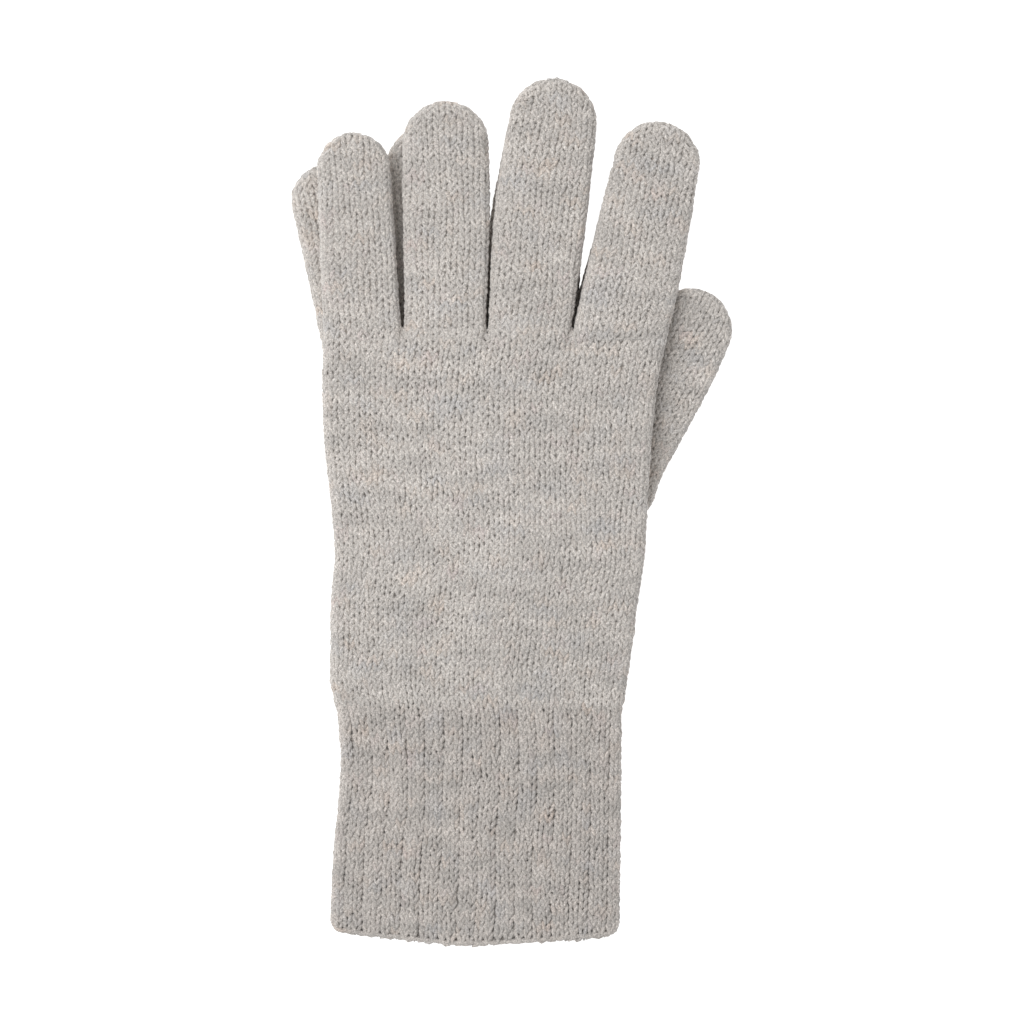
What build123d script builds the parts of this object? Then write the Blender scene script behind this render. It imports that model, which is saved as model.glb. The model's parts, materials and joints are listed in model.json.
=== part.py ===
from build123d import *
import os
from math import atan2, cos, degrees, hypot, sin, sqrt

# A pair of knitted wool gloves laid flat, palm to palm. The right glove lies palm up on the
# table; the left glove lies palm down on it, with both thumbs between the two palms.
#
# Drafting frame, millimetres: +Y runs from the cuff's hem to the fingertips, +X points to the
# thumb side, +Z is up, and the origin is under the middle of the hem on the table. All parts
# are moved at the end so that the row's origin is the bottom centre of the whole pair.

ALIGNED = 0.001           # largest sine between two directions that count as parallel
ROUNDING_MARGIN = 0.05    # flat strip left between the two fillets of a round edge

# ---- fabric and layers -------------------------------------------------------------------
FABRIC = 1.4              # thickness of one layer of knitted fabric
FLAT_THICKNESS = 7.2      # a hand, cuff or finger lying flat: two fabrics and the air between
THUMB_THICKNESS = 5.0     # a thumb pressed between the palms
GAP = 0.3                 # clearance between pieces that move apart
OVERSHOOT = 2.0           # how far a cutting tool runs past the faces it cuts

RIGHT_FLOOR = 0.0
LEFT_FLOOR = RIGHT_FLOOR + FLAT_THICKNESS + GAP
RIGHT_THUMB_FLOOR = LEFT_FLOOR
LEFT_THUMB_FLOOR = RIGHT_THUMB_FLOOR + THUMB_THICKNESS + GAP
THUMB_RISE = LEFT_THUMB_FLOOR + THUMB_THICKNESS + GAP - LEFT_FLOOR   # lift over both thumbs
INDEX_CLEARANCE = 1.3     # extra lift of the upper index finger, which crosses the thumb's tip

# ---- cuff --------------------------------------------------------------------------------
HEM_HEIGHT = 6.0          # cast-on edge, up to where the rib is regular
HEM_CORNER_RISE = 3.6     # the hem curves up to its corners
WRIST = 69.3
CUFF_HEM_SIDES = (-42.6, 41.2)
CUFF_WRIST_SIDES = (-39.9, 41.2)

# ---- hand: stations from wrist to knuckles, (distance along the hand, left, right) --------
HAND_LENGTH = 107.9
HAND_STATIONS = [
    (0.0, -40.9, 41.8),
    (4.5, -42.1, 42.8),
    (14.0, -42.5, 44.2),
    (25.0, -42.5, 45.6),
    (36.0, -42.3, 47.0),
    (46.0, -42.1, 48.2),
    (62.0, -43.2, 49.5),
    (78.0, -44.6, 50.4),
    (93.0, -45.1, 52.0),
    (HAND_LENGTH, -45.2, 55.1),
]
RIGHT_SHORTENING = 8.7    # the lower hand is bunched up by this much
RIGHT_INSET = 0.5         # and hides this far inside the upper one
DRAPE_LEFT = -45.2        # the upper hand rises from here ...
DRAPE_RIGHT = 17.6        # ... to here, where it lies on the thumbs
DRAPE_LENGTH = 46.0       # and from the wrist to its full rise over this length

# ---- fingers: name, base left, base right, tip centre x, tip centre y, tip radius ----------
CROTCHES = (-21.5, 2.9, 27.3)
CROTCH_DEPTH = 4.0
LEFT_FINGERS = [
    ("little", -45.2, CROTCHES[0], -35.5, 224.6, 10.7),
    ("ring", CROTCHES[0], CROTCHES[1], -9.3, 231.9, 12.3),
    ("middle", CROTCHES[1], CROTCHES[2], 21.5, 238.2, 12.8),
    ("index", CROTCHES[2], 55.1, 51.4, 226.0, 12.5),
]
RIGHT_FINGERS = [
    ("little", -44.7, CROTCHES[0], -43.1, 214.8, 10.7),
    ("ring", CROTCHES[0], CROTCHES[1], -14.0, 223.0, 12.3),
    ("middle", CROTCHES[1], CROTCHES[2], 21.0, 229.0, 12.4),
    ("index", CROTCHES[2], 54.6, 49.5, 217.0, 12.2),
]

# ---- thumbs: root centre, angle from +Y towards +X, lengths ---------------------------------
LEFT_THUMB = (38.2, 137.5, 30.0)
RIGHT_THUMB = (35.5, 134.0, 17.0)
THUMB_REACH = 46.5        # root centre to tip centre
THUMB_ROOT_WIDTH = 25.0
THUMB_TIP_RADIUS = 11.9
GUSSET_LENGTH = 18.0      # the gusset's reach from the thumb's root into the palm
GUSSET_EDGE = 1.2         # its thickness where it meets the palm
GUSSET_WEB = 5.0          # its solid length there, beyond the space inside it
THUMB_HOLE = (18.0, 11.0)  # slot through the palm into the thumb, across and along it


def smoothstep(start, end, value):
    t = min(max((value - start) / (end - start), 0.0), 1.0)
    return t * t * (3 - 2 * t)


def flat_lift(x, y):
    return RIGHT_FLOOR


def draped_lift(x, y):
    """Underside of the upper hand: on the lower glove at its sides, over the thumbs within."""
    rise = THUMB_RISE * smoothstep(WRIST, WRIST + DRAPE_LENGTH, y)
    return LEFT_FLOOR + rise * smoothstep(DRAPE_LEFT, DRAPE_RIGHT, x)


def cross_section(y, left, right, inset, lift):
    """Flat oval across the glove: two long sides that follow the drape and two round ends."""
    round_end = FLAT_THICKNESS / 2
    radius = round_end - inset
    x_left, x_right = left + round_end, right - round_end
    spans = 6
    xs = [x_left + (x_right - x_left) * i / spans for i in range(spans + 1)]
    low = [Vector(x, y, lift(x, y) + inset) for x in xs]
    high = [Vector(x, y, lift(x, y) + FLAT_THICKNESS - inset) for x in xs]
    right_side = Vector(x_right + radius, y, lift(x_right, y) + round_end)
    left_side = Vector(x_left - radius, y, lift(x_left, y) + round_end)
    edges = [
        Spline(*low),
        ThreePointArc(low[-1], right_side, high[-1]),
        Spline(*reversed(high)),
        ThreePointArc(high[0], left_side, low[0]),
    ]
    return Face(Wire([e.edge() for e in edges]))


def tube(stations, lift):
    """Solid through the cross-sections."""
    return loft([cross_section(*station, 0.0, lift) for station in stations], ruled=True)


def tube_space(stations, lift):
    """Space inside the tube, one fabric in from its surface and carried past both of its ends."""
    (start, *first_sides), *between, (end, *last_sides) = stations
    longer = [(start - OVERSHOOT, *first_sides), *between, (end + OVERSHOOT, *last_sides)]
    return loft([cross_section(*station, FABRIC, lift) for station in longer], ruled=True)


def hand_tube(base, length, lift, side_inset=0.0):
    """Hand as a hollow tube from the wrist to the knuckles, and the space inside it."""
    scale = length / HAND_LENGTH
    stations = [(base + y * scale, left + side_inset, right - side_inset)
                for y, left, right in HAND_STATIONS]
    space = tube_space(stations, lift)
    return tube(stations, lift) - space, space


def crotch_bridge(space, x, knuckle, lift):
    """Short web between two finger openings that joins the palm to the back."""
    block = Box(FABRIC, CROTCH_DEPTH, FLAT_THICKNESS + OVERSHOOT)
    block = Pos(x, knuckle - CROTCH_DEPTH / 2, lift(x, knuckle) + FLAT_THICKNESS / 2) * block
    return block & space


def cuff_sides(y):
    t = y / WRIST
    return tuple(a + (b - a) * t for a, b in zip(CUFF_HEM_SIDES, CUFF_WRIST_SIDES))


def cuff_tube(y_start, y_end, floor, side_inset):
    """Straight length of the ribbed cuff, hollow and open at both ends."""
    stations = [(y, cuff_sides(y)[0] + side_inset, cuff_sides(y)[1] - side_inset)
                for y in (y_start, y_end)]
    return Pos(0, 0, floor) * (tube(stations, flat_lift) - tube_space(stations, flat_lift))


def cuff_hem(floor, side_inset):
    """Cast-on edge: the first courses of the cuff, with a mouth that is slightly bowed."""
    left, right = CUFF_HEM_SIDES
    outline = make_face([
        ThreePointArc((left, HEM_CORNER_RISE), (0, 0), (right, HEM_CORNER_RISE)),
        Polyline((right, HEM_CORNER_RISE), (right + OVERSHOOT, HEM_HEIGHT),
                 (left - OVERSHOOT, HEM_HEIGHT), (left, HEM_CORNER_RISE)),
    ])
    prism = Pos(0, 0, floor - OVERSHOOT) * extrude(outline, FLAT_THICKNESS + 2 * OVERSHOOT)
    return cuff_tube(-OVERSHOOT, HEM_HEIGHT, floor, side_inset) & prism


def tangent_point(point, centre, radius, side):
    """Where the line from a point touches a circle, on the left (-1) or right (+1) side."""
    dx, dy = centre[0] - point[0], centre[1] - point[1]
    reach = sqrt(dx ** 2 + dy ** 2 - radius ** 2)
    heading = atan2(dy, dx) - side * atan2(radius, reach)
    return (point[0] + reach * cos(heading), point[1] + reach * sin(heading))


def capsule(base_left, base_right, centre, radius, thickness):
    """Flat finger shape: a base line, two straight sides and a round tip, with round edges."""
    left_touch = tangent_point(base_left, centre, radius, -1)
    right_touch = tangent_point(base_right, centre, radius, 1)
    mid_base = ((base_left[0] + base_right[0]) / 2, (base_left[1] + base_right[1]) / 2)
    reach = hypot(centre[0] - mid_base[0], centre[1] - mid_base[1])
    tip = tuple(c + radius * (c - m) / reach for c, m in zip(centre, mid_base))
    outline = make_face([
        Line(base_left, base_right),
        Line(base_right, right_touch),
        ThreePointArc(right_touch, tip, left_touch),
        Line(left_touch, base_left),
    ])
    solid = extrude(outline, thickness)
    along_base = (Vector(*base_right) - Vector(*base_left)).normalized()
    level = [e for e in solid.edges() if abs(e.tangent_at(0.5).Z) < ALIGNED]
    rim = [e for e in level if e.geom_type != GeomType.LINE
           or e.tangent_at(0.5).cross(along_base).length > ALIGNED]
    return fillet(rim, thickness / 2 - ROUNDING_MARGIN)


def hollow_capsule(base_left, base_right, centre, radius, thickness):
    """Finger or thumb tube: a capsule with its inside removed, open at the base."""
    (left, base), (right, _) = base_left, base_right
    outer = capsule(base_left, base_right, centre, radius, thickness)
    inner = capsule((left + FABRIC, base - OVERSHOOT), (right - FABRIC, base - OVERSHOOT), centre,
                    radius - FABRIC, thickness - 2 * FABRIC)
    return outer - Pos(0, 0, FABRIC) * inner


def finger(spec, knuckle, floor, rise):
    """One finger at its knuckle, pitched down so that its tip rests at the glove's floor."""
    _, left, right, tip_x, tip_y, radius = spec
    base = knuckle + GAP
    flat = hollow_capsule((left + GAP, base), (right - GAP, base), (tip_x, tip_y), radius,
                          FLAT_THICKNESS)
    pitch = degrees(atan2(rise, tip_y - base))
    return Pos(0, base, floor + rise) * Rot(X=-pitch) * Pos(0, -base, 0) * flat


def thumb(spec, floor):
    """Thumb tube lying flat between the palms."""
    x, y, angle = spec
    flat = hollow_capsule((-THUMB_ROOT_WIDTH / 2, 0), (THUMB_ROOT_WIDTH / 2, 0),
                          (0, THUMB_REACH), THUMB_TIP_RADIUS, THUMB_THICKNESS)
    return Pos(x, y, floor) * Rot(Z=-angle) * flat


def thumb_gusset(spec, floor, hangs):
    """Wedge that widens the palm into the thumb: open to the thumb and to the palm's slot."""
    x, y, angle = spec
    height = THUMB_THICKNESS + GAP
    half = THUMB_ROOT_WIDTH / 2
    web = -GUSSET_LENGTH + GUSSET_WEB
    wedge = Plane.YZ * Polyline((-GAP, 0), (-GAP, height), (-GUSSET_LENGTH, GUSSET_EDGE),
                                (-GUSSET_LENGTH, 0), close=True)
    space = Plane.YZ * Polyline((OVERSHOOT, -OVERSHOOT), (OVERSHOOT, height - FABRIC),
                                (web, GUSSET_EDGE / 2), (web, -OVERSHOOT), close=True)
    solid = extrude(make_face(wedge), amount=half, both=True)
    solid -= extrude(make_face(space), amount=half - FABRIC, both=True)
    if hangs:
        solid = Pos(0, 0, height) * Rot(Y=180) * solid
    return Pos(x, y, floor) * Rot(Z=-angle) * solid


def thumb_hole(spec, z):
    """Cutting tool for the palm's slot over the gusset."""
    x, y, angle = spec
    across, along = THUMB_HOLE
    slot = Pos(0, -FABRIC / 2 - along / 2, 0) * Box(across, along, FABRIC + OVERSHOOT)
    return Pos(x, y, z) * Rot(Z=-angle) * slot


def base_rise(spec):
    """Rise of a finger's base: the draped hand's mean rise across that finger."""
    name, left, right = spec[:3]
    count = 8
    xs = [left + (right - left) * (i + 0.5) / count for i in range(count)]
    rise = sum(draped_lift(x, WRIST + HAND_LENGTH) - LEFT_FLOOR for x in xs) / count
    return rise + (INDEX_CLEARANCE if name == "index" else 0.0)


def build_right_glove():
    """Lower glove, palm up, flat on the table."""
    knuckle = WRIST + HAND_LENGTH - RIGHT_SHORTENING
    hand, space = hand_tube(WRIST, HAND_LENGTH - RIGHT_SHORTENING, flat_lift, RIGHT_INSET)
    hand -= thumb_hole(RIGHT_THUMB, FLAT_THICKNESS - FABRIC / 2)
    parts = {
        "right_hand": hand,
        "right_cuff": cuff_tube(HEM_HEIGHT, WRIST, RIGHT_FLOOR, RIGHT_INSET),
        "right_cuff_hem": cuff_hem(RIGHT_FLOOR, RIGHT_INSET),
        "right_thumb_gusset": thumb_gusset(RIGHT_THUMB, FLAT_THICKNESS, hangs=False) - hand,
        "right_thumb": thumb(RIGHT_THUMB, RIGHT_THUMB_FLOOR),
    }
    for pair, x in zip(("little_ring", "ring_middle", "middle_index"), CROTCHES):
        parts[f"right_crotch_{pair}"] = crotch_bridge(space, x, knuckle, flat_lift)
    for spec in RIGHT_FINGERS:
        parts[f"right_{spec[0]}_finger"] = finger(spec, knuckle, RIGHT_FLOOR, 0.0)
    return parts


def build_left_glove():
    """Upper glove, palm down, draped over the thumbs."""
    knuckle = WRIST + HAND_LENGTH
    hand, space = hand_tube(WRIST, HAND_LENGTH, draped_lift)
    hand -= thumb_hole(LEFT_THUMB, LEFT_FLOOR + THUMB_RISE + FABRIC / 2)
    parts = {
        "left_hand": hand,
        "left_cuff": cuff_tube(HEM_HEIGHT, WRIST - GAP, LEFT_FLOOR, 0.0),
        "left_cuff_hem": cuff_hem(LEFT_FLOOR, 0.0),
        "left_thumb_gusset": thumb_gusset(LEFT_THUMB, LEFT_THUMB_FLOOR, hangs=True) - hand,
        "left_thumb": thumb(LEFT_THUMB, LEFT_THUMB_FLOOR),
    }
    for pair, x in zip(("little_ring", "ring_middle", "middle_index"), CROTCHES):
        parts[f"left_crotch_{pair}"] = crotch_bridge(space, x, knuckle, draped_lift)
    for spec in LEFT_FINGERS:
        parts[f"left_{spec[0]}_finger"] = finger(spec, knuckle, LEFT_FLOOR, base_rise(spec))
    return parts


pair = {**build_right_glove(), **build_left_glove()}
extent = Compound([solid for part in pair.values() for solid in part.solids()]).bounding_box()
to_row = Pos(-extent.center().X, -extent.center().Y, -extent.min.Z)

os.makedirs("parts", exist_ok=True)
for name, part in pair.items():
    export_step(to_row * Compound(part.solids()), f"parts/{name}.step")
print("moved by", to_row.position, "size", extent.size)
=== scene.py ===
"""A pair of knitted wool gloves, laid flat palm to palm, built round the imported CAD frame.

Every section of a glove is knitted: closed rings of looped yarn, course by course, over a flat
tube whose place and size come from the frame. Lengths are in millimetres until a mesh, a lamp or
the camera is made.
"""

import json
import math

import bpy
import numpy as np
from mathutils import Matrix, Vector


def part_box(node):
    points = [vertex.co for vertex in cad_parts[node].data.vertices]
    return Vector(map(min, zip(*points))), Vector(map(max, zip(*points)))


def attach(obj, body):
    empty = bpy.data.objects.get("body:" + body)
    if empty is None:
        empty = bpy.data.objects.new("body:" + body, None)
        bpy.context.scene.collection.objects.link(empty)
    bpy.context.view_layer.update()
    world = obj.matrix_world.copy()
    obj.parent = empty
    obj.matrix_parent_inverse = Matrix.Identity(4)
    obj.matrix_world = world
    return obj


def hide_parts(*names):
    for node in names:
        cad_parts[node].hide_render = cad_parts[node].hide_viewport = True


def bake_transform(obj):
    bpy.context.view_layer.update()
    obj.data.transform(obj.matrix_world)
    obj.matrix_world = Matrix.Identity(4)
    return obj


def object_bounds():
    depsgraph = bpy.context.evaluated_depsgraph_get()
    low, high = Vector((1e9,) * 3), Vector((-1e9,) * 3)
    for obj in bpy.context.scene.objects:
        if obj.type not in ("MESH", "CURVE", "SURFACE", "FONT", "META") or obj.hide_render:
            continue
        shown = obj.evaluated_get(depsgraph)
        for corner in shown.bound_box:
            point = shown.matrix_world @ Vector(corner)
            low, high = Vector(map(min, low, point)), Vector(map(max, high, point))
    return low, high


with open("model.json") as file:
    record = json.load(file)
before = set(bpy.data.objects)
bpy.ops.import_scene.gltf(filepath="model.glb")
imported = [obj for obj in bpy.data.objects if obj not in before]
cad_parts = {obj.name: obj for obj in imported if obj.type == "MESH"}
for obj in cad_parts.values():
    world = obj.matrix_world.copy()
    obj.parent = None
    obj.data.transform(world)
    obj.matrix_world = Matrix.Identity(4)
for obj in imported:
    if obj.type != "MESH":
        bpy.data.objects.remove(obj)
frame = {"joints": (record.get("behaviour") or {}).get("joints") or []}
cad_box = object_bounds()
MM = 1000.0
rng = np.random.default_rng(11)

# ---- yarn and stitches ---------------------------------------------------------------------
YARN = 0.585              # radius of the yarn
YARN_WIDE, YARN_DEEP = 1.1, 0.94    # the yarn is pressed a little flat
LOOP_DEPTH = 0.275        # half of the way a loop travels through the fabric
LEG_SLANT = 0.275         # how far the legs of a loop lean, in stitch widths
LOOP_REACH = 0.89         # half height of a loop, in courses
POINTS = 12               # points along one stitch
SIDES = 6                 # sides of the yarn
UNEVEN = 0.12             # how unevenly stitches sit
UNEVEN_LEAN, UNEVEN_PLACE, UNEVEN_HEIGHT = 1.1, 0.8, 0.5    # the same on a stitch's lean, place and height
WAVER, WAVER_DEPTH = 0.12, 0.05     # how far a yarn wavers from its even path
SWAY = 0.13               # how far patches of stitches drift together
SWAYS, SWAY_ALONG, FACE_PHASE = 4, 0.8, 2.0   # waves of that drift, its share along v, lower face's phase
FUZZ = 0.14               # roughness of the yarn's skin, as a share of its radius
LUMPS, RIPPLES = 0.09, 0.03         # how much the yarn's radius changes, slowly and quickly
LIMIT = 2                 # random changes stop at this many times their spread
HAND_FABRIC, FINGER_FABRIC, CUFF_FABRIC = 1.2, 1.1, 1.65    # outside of the loops to the ground behind
GROUND = 0.35             # thickness of the felted ground

HAND_COLUMNS = 32         # columns on each face of the hand
HAND_COURSE, FINGER_COURSE, CUFF_COURSE = 2.07, 1.97, 2.2   # heights of a course
FINGER_COLUMN, THUMB_COLUMN = 3.35, 3.1                     # widths of a column
CUFF_RIBS = 16            # ribs on each face of the cuff, two knit columns each
PURL_WIDTH = 0.28         # mean width of the purl column between two ribs
WIDEST_PURL = 1.2         # a purl column is never wider
PURL_DEPTH = 0.8          # how deep the purl column sits
PURL_YARN = -0.45         # where a yarn crosses the purl column, in courses
RIB_ROUND = 0.42          # how much lower a rib's sides are than its middle
LOWER_FACE_NUMBERS = 100  # where the numbers of the lower face's stitches begin
HEM_COURSES = 2           # courses that belong to the hem


def smoothstep(start, end, value):
    t = np.clip((value - start) / (end - start), 0.0, 1.0)
    return t * t * (3 - 2 * t)


def through(xs, ys, x):
    """Smooth curve through a few points."""
    xs, ys = np.array(xs, float), np.array(ys, float)
    slopes = np.gradient(ys, xs)
    i = np.clip(np.searchsorted(xs, x) - 1, 0, len(xs) - 2)
    step = xs[i + 1] - xs[i]
    t = np.clip((x - xs[i]) / step, 0, 1)
    keep = 2 * t**3 - 3 * t**2 + 1
    lead, trail = t**3 - 2 * t**2 + t, t**3 - t**2
    bend = lead * step * slopes[i] + trail * step * slopes[i + 1]
    return keep * ys[i] + (1 - keep) * ys[i + 1] + bend


def wander(count, softness):
    """Random numbers that change softly round a closed ring, with a spread of one."""
    k = np.fft.rfftfreq(count)
    wave = rng.normal(size=len(k)) + 1j * rng.normal(size=len(k))
    wave *= np.exp(-4 * (k * softness) ** 2)
    wave[0] = 0
    ring = np.fft.irfft(wave, count)
    return ring / (ring.std() + 1e-9)


# ---- places from the frame -------------------------------------------------------------------
def corner(node, which):
    return np.array(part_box(node)[which]) * MM


def joint_place(name):
    return np.array(next(j for j in frame["joints"] if j["name"] == name)["pos_m"]) * MM


MID_X, WRIST_Y, _ = joint_place("left_cuff_fold")
HEM_Y = corner("left_cuff_hem", 0)[1]
KNUCKLE = {side: corner(f"{side}_hand", 1)[1] for side in ("left", "right")}
HALF = (corner("left_cuff", 1)[2] - corner("left_cuff", 0)[2]) / 2     # half the thickness of a glove
THUMB_HALF = (corner("left_thumb", 1)[2] - corner("left_thumb", 0)[2]) / 2
FLOOR = {"left": corner("left_cuff", 0)[2], "right": corner("right_hand", 0)[2]}   # each glove's underside
RISE = corner("left_hand", 1)[2] - 2 * HALF - FLOOR["left"]            # of the upper hand over the thumbs
DRAPE_LEFT, DRAPE_RIGHT = -45.2, 17.6     # it rises between these two places across the hand
DRAPE_LENGTH, DRAPE_DOWN = 46.0, 62.0     # it rises over this length and its fingers fall over that one


def no_lift(x, y):
    return np.zeros_like(x)


def drape(x, y):
    """Rise of the upper glove over the thumbs; its fingers come back down to the lower ones."""
    across = smoothstep(MID_X + DRAPE_LEFT, MID_X + DRAPE_RIGHT, x)
    down = 1 - np.clip((y - KNUCKLE["left"]) / DRAPE_DOWN, 0, 1)
    return RISE * smoothstep(WRIST_Y, WRIST_Y + DRAPE_LENGTH, y) * across * down


# ---- flat tubes --------------------------------------------------------------------------------
class FlatTube:
    """A knitted tube lying flat.

    section(v) gives, at a distance v along the fabric, the middle's x and y, half width, half
    thickness at the sides and the turn of the cross-section. A point of the fabric is named by
    its face (1 up, -1 down), its distance s from the face's middle line, and v. lift(x, y) raises
    both faces, crown is how much thicker the tube is along its middle, dent(x, y, face) pushes a
    face in, and shift(x, v) moves points along y.
    """

    def __init__(self, section, length, mid_height, lift=no_lift, crown=0.0, dents=(), shift=None):
        self.section, self.length, self.mid_height = section, length, mid_height
        self.lift, self.crown, self.dents, self.shift = lift, crown, dents, shift

    def quarter(self, v):
        """Distance from a face's middle line to the tube's side."""
        _, _, a, b, _ = self.section(v)
        return a - b + b * math.pi / 2

    def place(self, face, s, v):
        """Points of the fabric."""
        mx, my, a, b, turn = self.section(v)
        flat = a - b
        angle = np.clip((np.abs(s) - flat) / b, 0, math.pi / 2)
        across = np.sign(s) * (np.minimum(np.abs(s), flat) + b * np.sin(angle))
        up = b * np.cos(angle)
        x = mx + across * np.cos(turn)
        y = my - across * np.sin(turn)
        if self.shift:
            y = y + self.shift(x, v)
        open_share = np.minimum(b / HALF * 1.6, 1)     # less than one only where the tube closes over
        up = up + self.crown * open_share * (1 - (across / a) ** 2) * np.cos(angle) ** 0.5
        for dent in self.dents:
            up = up - dent(x, y, face) * np.cos(angle)
        return np.stack([x, y, self.mid_height + face * up + self.lift(x, y)], -1)

    def place_at_depth(self, face, s, v, depth):
        """Points raised from the fabric along its normal, and that normal."""
        step = 0.25     # far enough to tell the fabric's slope
        here = self.place(face, s, v)
        ds = self.place(face, s + step, v) - self.place(face, s - step, v)
        dv = self.place(face, s, v + step) - self.place(face, s, v - step)
        normal = np.cross(ds, dv) * np.asarray(face)[..., None]
        normal /= np.linalg.norm(normal, axis=-1, keepdims=True) + 1e-9
        return here + normal * depth[..., None], normal


# ---- stitches ------------------------------------------------------------------------------------
def plain_edges(q, columns, column_width):
    """Edges of the columns on one face: a fixed number, or a fixed width with the rest at the sides."""
    if columns:
        return np.linspace(-q, q, columns + 1)
    narrowest_side = 0.35     # in columns
    whole = max(int(q / column_width - narrowest_side), 0)
    return np.concatenate([[-q], np.arange(-whole, whole + 1) * column_width, [q]])


def rib_edges(q, purls):
    """Edges of a ribbed face: to each rib a narrow purl column and two knit ones."""
    ribs = len(purls)
    pitch = 2 * q / ribs
    starts = -q + pitch * np.arange(ribs)
    half_knit = (pitch - purls) / 2
    edges = np.stack([starts, starts + purls, starts + purls + half_knit], -1).ravel()
    return np.concatenate([edges, [q]])


def stitch_ring(edges, spacing, ribbed):
    """One course round the tube: face, s, offsets along v and in depth, and the stitch number.

    A knit stitch is one loop. A purl column shows only as a yarn that crosses it low down.
    """
    t = 2 * math.pi * np.arange(POINTS) / POINTS
    parts = []
    for face in (1, -1):
        starts, ends = edges[:-1], edges[1:]
        if face < 0:
            starts, ends = ends[::-1], starts[::-1]
        purl = (np.abs(ends - starts) < WIDEST_PURL) & ribbed
        count = len(starts)
        slip = rng.normal(0, UNEVEN, (4, count, 1))
        slant = LEG_SLANT * (1 + UNEVEN_LEAN * slip[0])
        width = (ends - starts)[:, None]
        turn = t / (2 * math.pi)
        s = starts[:, None] + width * (turn + slant * np.sin(2 * t)) + UNEVEN_PLACE * slip[1]
        height = 1 + UNEVEN_HEIGHT * slip[2]
        dv = -spacing * LOOP_REACH * np.cos(t) * height + UNEVEN_PLACE * slip[3]
        depth = -(1 + np.cos(2 * t)) * LOOP_DEPTH + 0 * s
        number = np.arange(count)[:, None] + turn + (LOWER_FACE_NUMBERS if face < 0 else 0)
        keep = np.ones((count, POINTS), bool)
        keep[purl, 1:] = False
        s[purl, 0] = (starts + ends)[purl] / 2
        dv[purl, 0] = PURL_YARN * spacing
        depth[purl, 0] = -PURL_DEPTH
        parts.append(np.stack([np.full((count, POINTS), face), s, dv, depth, number], -1)[keep])
    return np.concatenate(parts).T


def knit_course(tube, v, spacing, columns, column_width, purls, drift):
    """Centre line of one course, the fabric's normal along it, and its stitch numbers."""
    q = float(tube.quarter(np.array(v)))
    ribbed = purls is not None
    edges = rib_edges(q, purls) if ribbed else plain_edges(q, columns, column_width)
    face, s, dv, depth, number = stitch_ring(edges, spacing, ribbed)
    if ribbed:
        pitch = 2 * q / len(purls)
        from_rib_middle = np.abs(((s + q) / pitch) % 1 - 0.5) * 2
        depth = depth - RIB_ROUND * from_rib_middle**3
    count = len(s)
    s = s + WAVER * wander(count, POINTS / 2.5)
    vv = v + dv + WAVER * wander(count, POINTS / 2.5)
    depth = depth + WAVER_DEPTH * wander(count, POINTS / 2)
    for wave_s, wave_v, phase in drift:
        pulse = np.sin(s / wave_s + v / wave_v + phase + (face < 0) * FACE_PHASE)
        side_hold = 1 - smoothstep(0.75, 1.0, np.abs(s) / q)
        s = s + SWAY * pulse * side_hold
        vv = vv + SWAY * np.cos(s / wave_v - v / wave_s + phase) * SWAY_ALONG
    near_side = smoothstep(0.35, 1.0, np.abs(s) / q)     # keeps the stitches there on a tapering side
    s = s * (1 - near_side + near_side * tube.quarter(vv) / q)
    centre, normal = tube.place_at_depth(face, s, vv, depth - YARN)
    return centre, normal, number


def sweep(centre, normal):
    """Skin of the yarn round a closed centre line, a little thicker here and thinner there."""
    tangent = np.roll(centre, -1, 0) - np.roll(centre, 1, 0)
    tangent /= np.linalg.norm(tangent, axis=1, keepdims=True) + 1e-9
    side = np.cross(tangent, normal)
    side /= np.linalg.norm(side, axis=1, keepdims=True) + 1e-9
    up = np.cross(side, tangent)
    angle = 2 * math.pi * np.arange(SIDES) / SIDES
    ring = (side[:, None] * np.cos(angle)[None, :, None] * YARN_WIDE
            + up[:, None] * np.sin(angle)[None, :, None] * YARN_DEEP)
    count = len(centre)
    lumps = np.clip(wander(count, POINTS * 1.2), -LIMIT, LIMIT)
    radius = YARN * (1 + LUMPS * lumps + RIPPLES * wander(count, 2))
    rough = 1 + FUZZ * np.clip(rng.normal(size=(count, SIDES)), -LIMIT, LIMIT)
    return centre[:, None] + (radius[:, None] * rough)[..., None] * ring


def knit(tube, courses, columns=0, column_width=FINGER_COLUMN, ribs=0):
    """All courses of a tube, as (skin points, stitch numbers) pairs.

    The purl columns between ribs open and close along the tube, each in its own way.
    """
    spacing = courses[1] - courses[0]
    drift = [(rng.uniform(4, 9), rng.uniform(4, 9), rng.uniform(0, 6.3)) for _ in range(SWAYS)]
    phases = rng.uniform(0, 6.3, (3, ribs)) if ribs else None
    rings = []
    for v in courses:
        purls = None
        if ribs:
            slow, quick = np.sin(v / 5.3 + phases[0]), np.sin(v / 2.9 + phases[1])
            steady = 0.8 * np.sin(phases[2] * 9)
            change = 0.35 * (slow + quick + steady) + rng.normal(0, 0.2, ribs)
            purls = PURL_WIDTH * np.clip(1 + change, 0.15, 2.2)
        centre, normal, number = knit_course(tube, v, spacing, columns, column_width, purls, drift)
        rings.append((sweep(centre, normal), number))
    return rings


# ---- meshes ----------------------------------------------------------------------------------------
STRIP_EDGE, STRIP_FILL = 0.05, 0.9    # where a yarn lies in its own strip of the texture
COURSES_APART = 7.3       # keeps the wool's streaks different from course to course


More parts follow.
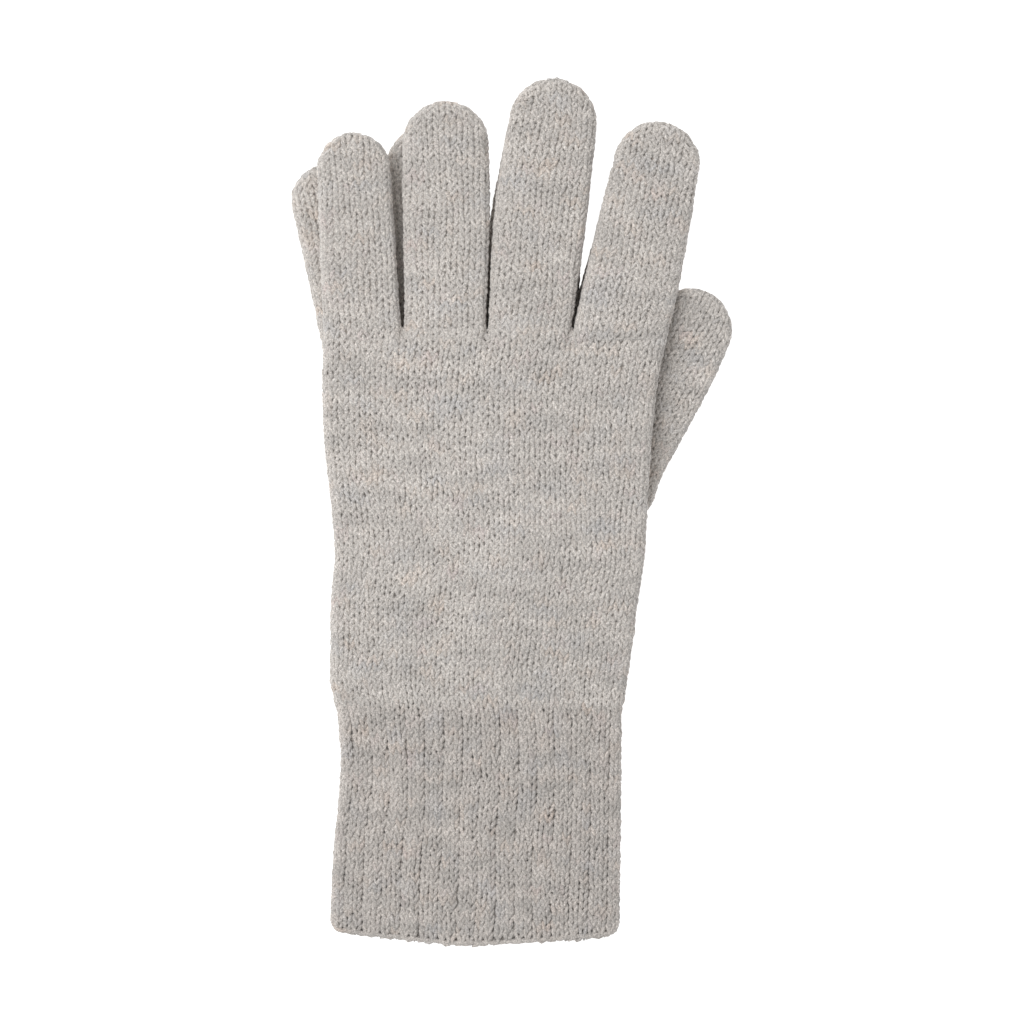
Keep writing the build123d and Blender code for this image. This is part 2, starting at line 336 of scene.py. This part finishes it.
class MeshParts:
    """Gathers one piece: points, quads, texture places, and for the wool each point's place in the
    knitting (stitch, course) and on its yarn (length, turn round it, course)."""

    def __init__(self, strips):
        self.points, self.quads, self.uv, self.knit, self.yarn = [], [], [], [], []
        self.count, self.strip, self.strips = 0, 0, strips
        self.offset = rng.uniform(0, 400)

    def add(self, points, quads, uv, knit_at, yarn_at):
        self.points.append(points)
        self.quads.append(quads + self.count)
        self.uv.append((uv + [0, self.strip]) / [1, self.strips])
        self.knit.append(knit_at + [0, self.offset, 0])
        self.yarn.append(yarn_at)
        self.count += len(points)
        self.strip += 1

    def add_ring(self, skin, number, course):
        """A closed yarn: skin points by length and round the yarn."""
        n, m = skin.shape[:2]
        i, j = np.meshgrid(np.arange(n), np.arange(m), indexing="ij")
        here, ahead = i * m, (i + 1) % n * m
        quads = np.stack([here + j, ahead + j, ahead + (j + 1) % m, here + (j + 1) % m], -1)
        u0, u1 = i / n, (i + 1) / n
        v0, v1 = STRIP_EDGE + STRIP_FILL * j / m, STRIP_EDGE + STRIP_FILL * (j + 1) / m
        uv = np.stack([u0, v0, u1, v0, u1, v1, u0, v1], -1)
        middle = skin.mean(1)
        step = np.linalg.norm(np.roll(middle, -1, 0) - middle, axis=1)
        along = np.concatenate([[0], np.cumsum(step)[:-1]])
        knit_at = np.stack([np.repeat(number, m), np.full(n * m, float(course)), np.zeros(n * m)], -1)
        turn, apart = np.tile(np.arange(m) / m, n), np.full(n * m, course * COURSES_APART)
        yarn_at = np.stack([np.repeat(along, m), turn, apart], -1)
        self.add(skin.reshape(-1, 3), quads.reshape(-1, 4), uv.reshape(-1, 4, 2), knit_at, yarn_at)

    def add_ground(self, tube, start, end, rows, across, depth):
        """The felted ground behind the loops: a thin closed shell, so that no gap shows through."""
        v = np.repeat(np.linspace(start, end, rows)[:, None], 2 * across, 1)
        share = np.linspace(-1, 1, across, endpoint=False)
        s = np.concatenate([share, -share])[None, :] * tube.quarter(v)
        face = np.repeat(np.repeat([1, -1], across)[None, :], rows, 0)
        outer, _ = tube.place_at_depth(face, s, v, np.full(v.shape, -depth))
        inner, _ = tube.place_at_depth(face, s, v, np.full(v.shape, -depth - GROUND))
        loop = np.stack([outer, inner[::-1]]).reshape(-1, 2 * across, 3)
        n, m = loop.shape[:2]
        i, j = np.meshgrid(np.arange(n), np.arange(m), indexing="ij")
        here, ahead = i * m, (i + 1) % n * m
        quads = np.stack([here + j, here + (j + 1) % m, ahead + (j + 1) % m, ahead + j], -1)
        top = STRIP_EDGE + STRIP_FILL
        u0, u1, v0, v1 = j / m, (j + 1) / m, top * i / n, top * (i + 1) / n
        uv = np.stack([u0, v0, u1, v0, u1, v1, u0, v1], -1)
        vv = np.concatenate([v, v[::-1]]).ravel()
        ss = np.concatenate([s, s[::-1]]).ravel()
        knit_at = np.stack([ss / 3, vv / 2, np.ones(n * m)], -1)
        yarn_at = np.stack([ss, vv * 0.3, np.zeros(n * m)], -1)
        self.add(loop.reshape(-1, 3), quads.reshape(-1, 4), uv.reshape(-1, 4, 2), knit_at, yarn_at)

    def build(self, name):
        points, quads, uv = (np.concatenate(x) for x in (self.points, self.quads, self.uv))
        mesh = bpy.data.meshes.new(name)
        mesh.vertices.add(len(points))
        mesh.vertices.foreach_set("co", (points / MM).astype(np.float32).ravel())
        mesh.loops.add(len(quads) * 4)
        mesh.loops.foreach_set("vertex_index", quads.astype(np.int32).ravel())
        mesh.polygons.add(len(quads))
        mesh.polygons.foreach_set("loop_start", (np.arange(len(quads)) * 4).astype(np.int32))
        mesh.polygons.foreach_set("use_smooth", np.ones(len(quads), bool))
        mesh.update(calc_edges=True)
        mesh.uv_layers.new(name="OFBake").data.foreach_set("uv", uv.astype(np.float32).ravel())
        for key, values in (("knit", self.knit), ("yarn", self.yarn), ("cloth", self.points)):
            attribute = mesh.attributes.new(key, "FLOAT_VECTOR", "POINT")
            attribute.data.foreach_set("vector", np.concatenate(values).astype(np.float32).ravel())
        piece = bpy.data.objects.new(name, mesh)
        bpy.context.scene.collection.objects.link(piece)
        return piece


def knitted_piece(name, tube, rings, first_course, ground, depth):
    """One piece from some courses of a tube and the ground behind them.

    ground gives where along the tube it starts and ends, its rows, and its steps across a face;
    depth is how far it lies behind the outside of the loops.
    """
    parts = MeshParts(len(rings) + 1)
    for number, (skin, stitches) in enumerate(rings):
        parts.add_ring(skin, stitches, first_course + number)
    start, end, rows, across = ground
    parts.add_ground(tube, start, end, rows, across, depth)
    return parts.build(name)


# ---- glove sections ------------------------------------------------------------------------------
HAND_OUTLINE = [  # share of the hand's length, left edge, right edge
    (0.0, -41.3, 42.5), (0.05, -42.7, 43.4), (0.14, -42.8, 44.8), (0.27, -42.7, 46.5), (0.41, -41.5, 48.5),
    (0.52, -42.4, 49.2), (0.72, -44.7, 50.6), (0.88, -45.1, 52.5), (1.0, -44.7, 55.3),
]
CROTCHES = ("little_ring", "ring_middle", "middle_index")
# Of each finger: edges at the base, middle and reach of the tip, its radius, swell of each side, and
# how far each side is taken in near the base.
FINGERS = {
    "left": {
        "little": ((-44.7, -21.5), (-35.8, 224.7), 10.8, (0.1, 0.1), (0.0, 0.3)),
        "ring": ((-21.5, 2.9), (-9.2, 231.9), 12.7, (0.2, 0.8), (0.4, 0.4)),
        "middle": ((2.9, 27.3), (21.9, 238.3), 12.9, (1.6, 0.4), (0.25, 0.1)),
        "index": ((27.3, 55.3), (52.0, 226.1), 12.6, (0.3, 0.3), (0.3, 0.0)),
    },
    "right": {
        "little": ((-44.3, -21.5), (-43.3, 215.8), 11.1, (-0.3, 0.0), (0.0, 0.6)),
        "ring": ((-21.5, 2.9), (-14.6, 225.5), 12.3, (0.3, 0.6), (-0.6, -0.2)),
        "middle": ((2.9, 27.3), (19.5, 229.0), 12.4, (2.6, -0.3), (-1.2, -1.6)),
        "index": ((27.3, 54.8), (49.5, 217.0), 12.2, (0.0, 0.0), (-2.2, 0.0)),
    },
}
TAKEN_IN = (6.0, 14.0, 46.0)        # along a finger: taken in fully from here, to here, and none from here
THUMBS = {  # root, angle, reach, half width, tip radius, flare at the root
    "left": ((38.2, 137.5), 30.0, 46.5, 14.1, 12.4, 2.0),
    "right": ((35.5, 134.0), 17.0, 46.5, 12.6, 11.9, 1.0),
}
GUSSET = 19.0             # how far the thumb's gusset reaches into the palm
GUSSET_NARROW, GUSSET_THIN = 0.54, 0.45     # how much it loses of its width and thickness there
GUSSET_SHORT = 1.6        # it stops this much short of the palm's mid-height
BEND = 14.0               # length at the root of a finger or thumb over which it bends
SIDE_THIN = 0.75          # thickness at the sides of a tube, as a share of the middle's
HOLLOW = (-11.2, 24.5, 5.0, 15.0, -0.3, 0.9)   # soft hollow in the back: place, size, lean and depth
CUFF_LEFT, CUFF_RIGHT = -43.0, 41.5
CUFF_WAIST = ((0, 0.35, 0.8, 1), (0, 0.8, 3.0, 1.8))        # share of its length, left side drawn in
MOUTH_LOWEST = -6.5       # where the mouth bows down furthest
MOUTH_BOW_LEFT, MOUTH_BOW_RIGHT = (4.1, 1.1), (2.7, 1.5)    # how much higher its sides are, and how sharply
MOUTH_CORNER = 3.8        # radius of the mouth's corners
SLUMP = 1.7               # how much the cuffs flatten towards the thumbs' side


def crotch_x(side, name):
    node = f"{side}_crotch_{name}"
    return (corner(node, 0)[0] + corner(node, 1)[0]) / 2


def hand_tube(side, inset):
    length = KNUCKLE[side] - WRIST_Y
    shares, lefts, rights = zip(*HAND_OUTLINE)
    thin = HALF * SIDE_THIN
    crotches = [crotch_x(side, name) for name in CROTCHES]

    def section(v):
        t = np.clip(v / length, -0.02, 1.04)
        left = MID_X + through(shares, lefts, t) + inset
        right = MID_X + through(shares, rights, t) - inset
        return (left + right) / 2, WRIST_Y + v, (right - left) / 2, thin + 0 * v, 0 * v

    def crotch_dent(x, y, face):
        """Palm and back come together just below each crotch."""
        reach, width, kept = 5.5, 1.7, 1.1
        grow = smoothstep(KNUCKLE[side] - reach, KNUCKLE[side] + 0.5, y)
        return sum((HALF - kept) * grow * np.exp(-((x - c) / width) ** 2) for c in crotches)

    def soft_hollows(x, y, face):
        """A hollow and shallow ripples, which fade out towards the wrist and the knuckles."""
        place_x, place_y, wide, tall, lean, deep = HOLLOW
        dy = y - WRIST_Y - place_y
        dx = x - MID_X - place_x - lean * -dy
        hollow = deep * np.exp(-(dx / wide) ** 2 - (dy / tall) ** 2)
        long_ripple = 0.28 * np.sin(x / 15.0 + 1.3) * np.sin(y / 21.0 + 0.4)
        short_ripple = 0.16 * np.sin(x / 8.0 - y / 12.0 + 2.0)
        from_wrist = smoothstep(WRIST_Y, WRIST_Y + 12, y)
        to_knuckles = 1 - smoothstep(KNUCKLE[side] - 16, KNUCKLE[side] - 5, y)
        return (hollow + long_ripple + short_ripple) * from_wrist * to_knuckles

    lift = drape if side == "left" else no_lift
    return FlatTube(section, length, FLOOR[side] + HALF, lift, HALF - thin, (crotch_dent, soft_hollows))


def rounded(v, straight, half):
    """How far a tube has run and its half thickness, where it closes over in a round end."""
    past = np.clip((v - straight) / half, 0, math.pi / 2 - 0.02)
    along = np.where(v > straight, straight + half * np.sin(past), v)
    return along, np.where(v > straight, half * np.cos(past), half)


def finger_tube(side, name):
    """Finger from its knuckle to a round tip; its first courses turn from the hand's line."""
    (base_left, base_right), (tip_x, tip_y), radius, swell, taken_in = FINGERS[side][name]
    base = np.array([MID_X + (base_left + base_right) / 2, KNUCKLE[side]])
    run = np.array([MID_X + tip_x, HEM_Y + tip_y]) - base
    reach = np.hypot(*run)
    run /= reach
    lean = math.atan2(run[0], run[1])
    thin = HALF * SIDE_THIN
    straight = reach + radius - thin
    half_base = (base_right - base_left) / 2
    full_from, full_to, none_from = TAKEN_IN

    def section(v):
        along, b = rounded(v, straight, thin)
        share = np.clip(along / reach, 0, 1)
        middle = half_base + (radius - half_base) * share
        taken = smoothstep(0.0, full_from, v) * (1 - smoothstep(full_to, none_from, v))
        bulge = np.sin(math.pi * share)
        left, right = (middle + swell[k] * bulge - taken_in[k] * taken for k in (0, 1))
        half, offset = (left + right) / 2, (right - left) / 2
        a = np.sqrt(np.clip(half**2 - np.clip(along - reach, 0, None) ** 2, 0.05, None))
        turn = lean * smoothstep(-1.0, BEND, v)
        return base[0] + run[0] * along + offset, base[1] + run[1] * along, a, np.minimum(b, a), turn

    lift = drape if side == "left" else no_lift
    length = straight + thin * math.pi / 2
    return FlatTube(section, length, FLOOR[side] + HALF, lift, HALF - thin), base


def thumb_tube(side):
    """Thumb from its gusset, which narrows and slopes into the palm, to a round tip."""
    low, high = corner(f"{side}_thumb", 0), corner(f"{side}_thumb", 1)
    (x, y), angle, reach, half_root, radius, flare = THUMBS[side]
    turn = math.radians(angle)
    root = np.array([MID_X + x, HEM_Y + y])
    heading = np.array([math.sin(turn), math.cos(turn)])
    thin = THUMB_HALF * SIDE_THIN
    straight = reach + radius - thin
    middle = (low[2] + high[2]) / 2
    to_palm = FLOOR[side] + HALF + (RISE if side == "left" else 0) - middle
    slope = to_palm - math.copysign(GUSSET_SHORT, to_palm)

    def gusset(v):
        return smoothstep(-2.0, -GUSSET, v)

    def section(v):
        along, b = rounded(v, straight, thin)
        half = half_root + (radius - half_root) * np.clip(along / reach, 0, 1) ** 3
        half = (half + flare * (1 - smoothstep(-5, 8, v))) * (1 - GUSSET_NARROW * gusset(v))
        a = np.sqrt(np.clip(half**2 - np.clip(along - reach, 0, None) ** 2, 0.05, None))
        b = np.minimum(b * (1 - GUSSET_THIN * gusset(v)), a)
        return root[0] + heading[0] * along, root[1] + heading[1] * along, a, b, turn + 0 * v

    def into_palm(x, y):
        return slope * gusset((x - root[0]) * heading[0] + (y - root[1]) * heading[1])

    tube = FlatTube(section, straight + thin * math.pi / 2, middle, into_palm, THUMB_HALF - thin)
    return tube, root, heading


def cuff_tube(side, inset):
    """Cuff measured up from the hem. Its mouth bows down in the middle and has round corners."""
    low, high = corner(f"{side}_cuff", 0), corner(f"{side}_cuff", 1)
    length = WRIST_Y - HEM_Y
    left_edge, right_edge = MID_X + CUFF_LEFT + inset, MID_X + CUFF_RIGHT - inset
    lowest = MID_X + MOUTH_LOWEST
    thin = HALF * SIDE_THIN

    def section(v):
        t = np.clip(v / length, 0, 1)
        left = left_edge + through(*CUFF_WAIST, t)
        right = right_edge + 0.8 * t
        return (left + right) / 2, HEM_Y + v, (right - left) / 2, thin + 0 * v, 0 * v

    def mouth(x, v):
        rises = []
        for edge, (height, sharpness) in ((left_edge, MOUTH_BOW_LEFT), (right_edge, MOUTH_BOW_RIGHT)):
            rises.append(height * np.abs((x - lowest) / (edge - lowest)) ** sharpness)
        bow = np.where(x < lowest, *rises)
        inward = np.clip(MOUTH_CORNER - np.minimum(x - left_edge, right_edge - x), 0, MOUTH_CORNER)
        fillet = MOUTH_CORNER - np.sqrt(MOUTH_CORNER**2 - inward**2)
        return bow * (1 - smoothstep(0, 30, v)) + fillet * (1 - smoothstep(0, 8.0, v))

    def slump(x, y):
        """Grows from none to one towards the thumbs' side and the mouth."""
        aside = smoothstep(MID_X + 8, right_edge + 2, x) ** 1.5
        return aside * (1 - smoothstep(HEM_Y + 34, WRIST_Y + 4, y))

    def flattened(x, y, face):
        return SLUMP * slump(x, y) * (face > 0)

    def sunk(x, y):
        return -SLUMP * slump(x, y)

    lift = sunk if side == "left" else no_lift
    return FlatTube(section, length, (low[2] + high[2]) / 2, lift, HALF - thin, (flattened,), mouth)


def courses_over(start, end, spacing):
    count = max(int(round((end - start) / spacing)), 2)
    return start + (np.arange(count) + 0.5) * (end - start) / count


# ---- materials -----------------------------------------------------------------------------------
def srgb(red, green, blue):
    """Scene-linear colour of an everyday 0 to 255 one."""
    shares = [c / 255 for c in (red, green, blue)]
    return tuple(c / 12.92 if c <= 0.04045 else ((c + 0.055) / 1.055) ** 2.4 for c in shares) + (1.0,)


def wool_material(name, pale, deep, warm, cool, rose):
    """Heathered wool: tone drifts along each course, with faint patches, over fine fibre streaks."""
    material = bpy.data.materials.new(name)
    material.use_nodes = True
    nodes, links = material.node_tree.nodes, material.node_tree.links
    shader = nodes["Principled BSDF"]
    shader.inputs["Roughness"].default_value = 0.9
    shader.inputs["Specular IOR Level"].default_value = 0.15
    shader.inputs["Sheen Weight"].default_value = 0.3
    shader.inputs["Sheen Roughness"].default_value = 0.6

    def attribute(key):
        node = nodes.new("ShaderNodeAttribute")
        node.attribute_name = key
        return node.outputs["Vector"]

    def noise(vector, scale, place=(0, 0, 0), detail=2.0, rough=0.5):
        mapping = nodes.new("ShaderNodeMapping")
        mapping.inputs["Scale"].default_value = scale
        mapping.inputs["Location"].default_value = place
        links.new(vector, mapping.inputs["Vector"])
        node = nodes.new("ShaderNodeTexNoise")
        node.inputs["Scale"].default_value = 1.0
        node.inputs["Detail"].default_value = detail
        node.inputs["Roughness"].default_value = rough
        links.new(mapping.outputs["Vector"], node.inputs["Vector"])
        return node.outputs["Fac"]

    def spread(value, low, high, to_low=0.0, to_high=1.0):
        node = nodes.new("ShaderNodeMapRange")
        for key, number in (("From Min", low), ("From Max", high), ("To Min", to_low), ("To Max", to_high)):
            node.inputs[key].default_value = number
        links.new(value, node.inputs["Value"])
        return node.outputs["Result"]

    def mix(factor, a, b):
        node = nodes.new("ShaderNodeMix")
        node.data_type = "RGBA"
        links.new(factor, node.inputs["Factor"])
        for socket, value in ((node.inputs[6], a), (node.inputs[7], b)):
            if isinstance(value, tuple):
                socket.default_value = value
            else:
                links.new(value, socket)
        return node.outputs[2]

    def scaled(colour, value):
        node = nodes.new("ShaderNodeVectorMath")
        node.operation = "SCALE"
        links.new(colour, node.inputs[0])
        links.new(value, node.inputs["Scale"])
        return node.outputs[0]

    knit_at, yarn_at, cloth_at = attribute("knit"), attribute("yarn"), attribute("cloth")
    colour = mix(spread(noise(knit_at, (0.16, 0.5, 1.0)), 0.34, 0.66), deep, pale)
    patches = (  # colour, scale and place of the noise, where it starts and is full, how strong it gets
        (warm, (0.3, 0.45, 1.0), (5, 53, 0), 0.56, 0.74, 0.42),
        (cool, (0.2, 0.3, 1.0), (61, 17, 0), 0.56, 0.76, 0.42),
        (rose, (0.35, 0.4, 1.0), (23, 91, 0), 0.6, 0.76, 0.35),
    )
    for tint, scale, place, start, full, strength in patches:
        colour = mix(spread(noise(knit_at, scale, place), start, full, 0, strength), colour, tint)
    fibre = noise(yarn_at, (2.0, 10.0, 1.0), detail=3.0, rough=0.65)
    fuzz = noise(cloth_at, (2.9, 2.1, 2.0), detail=2.0, rough=0.6)
    fleck = noise(yarn_at, (0.35, 0.6, 1.0), (9, 3, 0), detail=1.0)
    for value, low, high in ((fibre, 0.6, 1.36), (fuzz, 0.66, 1.32), (fleck, 0.95, 1.05)):
        colour = scaled(colour, spread(value, 0.3, 0.7, low, high))
    links.new(colour, shader.inputs["Base Color"])
    bump = nodes.new("ShaderNodeBump")
    bump.inputs["Strength"].default_value = 0.6
    bump.inputs["Distance"].default_value = 0.0003
    links.new(fibre, bump.inputs["Height"])
    links.new(bump.outputs["Normal"], shader.inputs["Normal"])
    return material


WOOL = wool_material(
    "wool_knit",
    pale=srgb(213, 207, 201), deep=srgb(195, 190, 185),
    warm=srgb(220, 200, 184), cool=srgb(188, 190, 194), rose=srgb(212, 193, 191),
)
# A darker copy of the hand's wool for the cuff and its hem: the difference is painted shade, not another
# yarn.
SHADED_RIB_WOOL = wool_material(
    "wool_rib",
    pale=srgb(204, 197, 191), deep=srgb(184, 179, 174),
    warm=srgb(214, 194, 179), cool=srgb(182, 183, 187), rose=srgb(206, 187, 185),
)


def finish_piece(piece, material, slot_name, *nodes):
    piece.data.materials.append(material)
    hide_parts(*nodes)


# ---- the gloves ------------------------------------------------------------------------------------
# Numbers that keep the heather of one section apart from the next one's.
FINGER_START, THUMB_START, CUFF_START, HEM_START, CROTCH_COURSE = 60, 110, 150, 147, 52


def make_hand(side, inset):
    """The hand as two pieces, a wrist half and a knuckle half, which meet between two courses."""
    tube = hand_tube(side, inset)
    courses = courses_over(0, tube.length, HAND_COURSE)
    rings = knit(tube, courses, columns=HAND_COLUMNS)
    half = len(rings) // 2
    past_ends = 0.5
    halves = (
        ("wrist", slice(0, half), -past_ends, courses[half]),
        ("knuckle", slice(half, None), courses[half], tube.length + past_ends),
    )
    for label, chosen, start, end in halves:
        name = f"{side}_hand_{label}_half"
        piece = knitted_piece(name, tube, rings[chosen], chosen.start, (start, end, 30, 44), HAND_FABRIC)
        finish_piece(piece, WOOL, "wool_knit", f"{side}_hand")
        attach(piece, f"{side}_hand")


def make_crotches(side, tube):
    """Short webs of yarn that join palm to back between two fingers."""
    strands, points, reach, bow, heights = 4, 20, 4.6, 1.3, 0.3
    share = np.linspace(0, 1, points)
    for name in CROTCHES:
        parts = MeshParts(strands)
        for number, height in enumerate(np.linspace(-heights, heights, strands)):
            x = crotch_x(side, name) + (share - 0.5) * reach
            y = KNUCKLE[side] - bow + bow * (2 * share - 1) ** 2 + 0.2 * wander(points, 3)
            z = tube.mid_height + height * HALF + 0.12 * wander(points, 4) + tube.lift(x, y)
            there = np.stack([x, y, z], -1)
            ring = np.concatenate([there, there[::-1] - [0, 0.5, 0]])
            normal = np.tile([0.0, 0.0, 1.0], (len(ring), 1))
            stitches = np.linspace(0, 2, len(ring)) + 7 * number
            parts.add_ring(sweep(ring, normal), stitches, CROTCH_COURSE)
        piece = parts.build(f"{side}_crotch_{name}_web")
        finish_piece(piece, WOOL, "wool_knit", f"{side}_crotch_{name}")
        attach(piece, f"{side}_hand")


def make_finger(side, name):
    tube, base = finger_tube(side, name)
    rings = knit(tube, courses_over(-1.3, tube.length - 0.6, FINGER_COURSE), column_width=FINGER_COLUMN)
    ground = (-0.5, tube.length - 1.2, 40, 20)
    piece = knitted_piece(f"{side}_{name}_finger_knit", tube, rings, FINGER_START, ground, FINGER_FABRIC)
    finish_piece(piece, WOOL, "wool_knit", f"{side}_{name}_finger")
    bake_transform(piece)


def make_thumb(side):
    tube, root, heading = thumb_tube(side)
    rings = knit(tube, courses_over(-GUSSET, tube.length - 0.5, FINGER_COURSE), column_width=THUMB_COLUMN)
    ground = (-GUSSET, tube.length - 1.2, 44, 20)
    piece = knitted_piece(f"{side}_thumb_knit", tube, rings, THUMB_START, ground, FINGER_FABRIC)
    finish_piece(piece, WOOL, "wool_knit", f"{side}_thumb", f"{side}_thumb_gusset")
    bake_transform(piece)


def cast_on_edge(tube):
    """The cast-on yarn, which runs straight round the mouth and holds the first loops."""
    count = 2 * CUFF_RIBS * POINTS
    above_hem, behind_loops, waver = 0.6, 0.25, 0.08
    share = np.linspace(-1, 1, count // 2, endpoint=False)
    face = np.repeat([1, -1], count // 2)
    v = above_hem + waver * wander(count, POINTS / 2)
    s = np.concatenate([share, -share]) * tube.quarter(v)
    depth = -YARN - behind_loops + waver * wander(count, POINTS / 2)
    centre, normal = tube.place_at_depth(face, s, v, depth)
    return sweep(centre, normal), np.arange(count) / POINTS


def make_cuff(side, inset):
    tube = cuff_tube(side, inset)
    courses = courses_over(0.9, tube.length, CUFF_COURSE)
    rings = knit(tube, courses, ribs=CUFF_RIBS)
    edge = courses[HEM_COURSES] - 0.5
    ground = (edge, tube.length + 0.4, 30, 40)
    piece = knitted_piece(f"{side}_cuff_knit", tube, rings[HEM_COURSES:], CUFF_START, ground, CUFF_FABRIC)
    hem_rings = [cast_on_edge(tube), *rings[:HEM_COURSES]]
    hem_ground = (0.3, edge, 5, 40)
    hem = knitted_piece(f"{side}_cuff_hem_knit", tube, hem_rings, HEM_START, hem_ground, CUFF_FABRIC)
    finish_piece(piece, SHADED_RIB_WOOL, "wool_rib", f"{side}_cuff")
    finish_piece(hem, SHADED_RIB_WOOL, "wool_edge", f"{side}_cuff_hem")
    if side == "left":
        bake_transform(piece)
        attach(hem, "left_cuff")
    else:
        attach(piece, "right_hand")
        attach(hem, "right_hand")


for side, inset in (("right", 0.5), ("left", 0.0)):     # the lower glove keeps just inside the upper one
    make_hand(side, inset)
    make_crotches(side, hand_tube(side, inset))
    make_cuff(side, inset)
    make_thumb(side)
    for name in FINGERS[side]:
        make_finger(side, name)


# ---- stage ---------------------------------------------------------------------------------------
WHITE = (1.0, 1.0, 1.0, 1.0)


def make_table():
    """Pale table lit from below, so that it shows nearly white round the gloves."""
    bpy.ops.mesh.primitive_plane_add(size=8.0, location=(0, 0, 0))
    table = bpy.context.object
    table.name = "floor"
    material = bpy.data.materials.new("pale_light_table")
    material.use_nodes = True
    shader = material.node_tree.nodes["Principled BSDF"]
    shader.inputs["Base Color"].default_value = (0.5, 0.5, 0.5, 1.0)
    shader.inputs["Roughness"].default_value = 0.9
    shader.inputs["Emission Color"].default_value = WHITE
    shader.inputs["Emission Strength"].default_value = 0.93
    table.data.materials.append(material)


def make_light():
    """Even white surroundings and one large soft lamp at the upper left."""
    world = bpy.data.worlds.new("studio")
    world.use_nodes = True
    background = world.node_tree.nodes["Background"]
    background.inputs["Color"].default_value = WHITE
    background.inputs["Strength"].default_value = 0.52
    bpy.context.scene.world = world
    softbox = bpy.data.lights.new("softbox", "AREA")
    softbox.shape = "DISK"
    softbox.size = 2.4
    softbox.energy = 40.4
    lamp = bpy.data.objects.new("softbox", softbox)
    lamp.location = (-1.3, 0.5, 2.1)
    lamp.rotation_euler = (-Vector(lamp.location)).to_track_quat("-Z", "Y").to_euler()
    bpy.context.scene.collection.objects.link(lamp)
    bpy.context.scene.view_settings.view_transform = "Standard"


def make_camera():
    """Straight above the pair, from far enough away that it looks flat."""
    camera = bpy.data.cameras.new("camera")
    camera.lens = 182.0
    camera.clip_end = 20
    body = bpy.data.objects.new("camera", camera)
    height, aside = 1.512, 0.0003
    centre = (cad_box[0] + cad_box[1]) / 2
    body.location = (centre[0] + aside, centre[1], height)
    bpy.context.scene.collection.objects.link(body)
    bpy.context.scene.camera = body


make_table()
make_light()
make_camera()
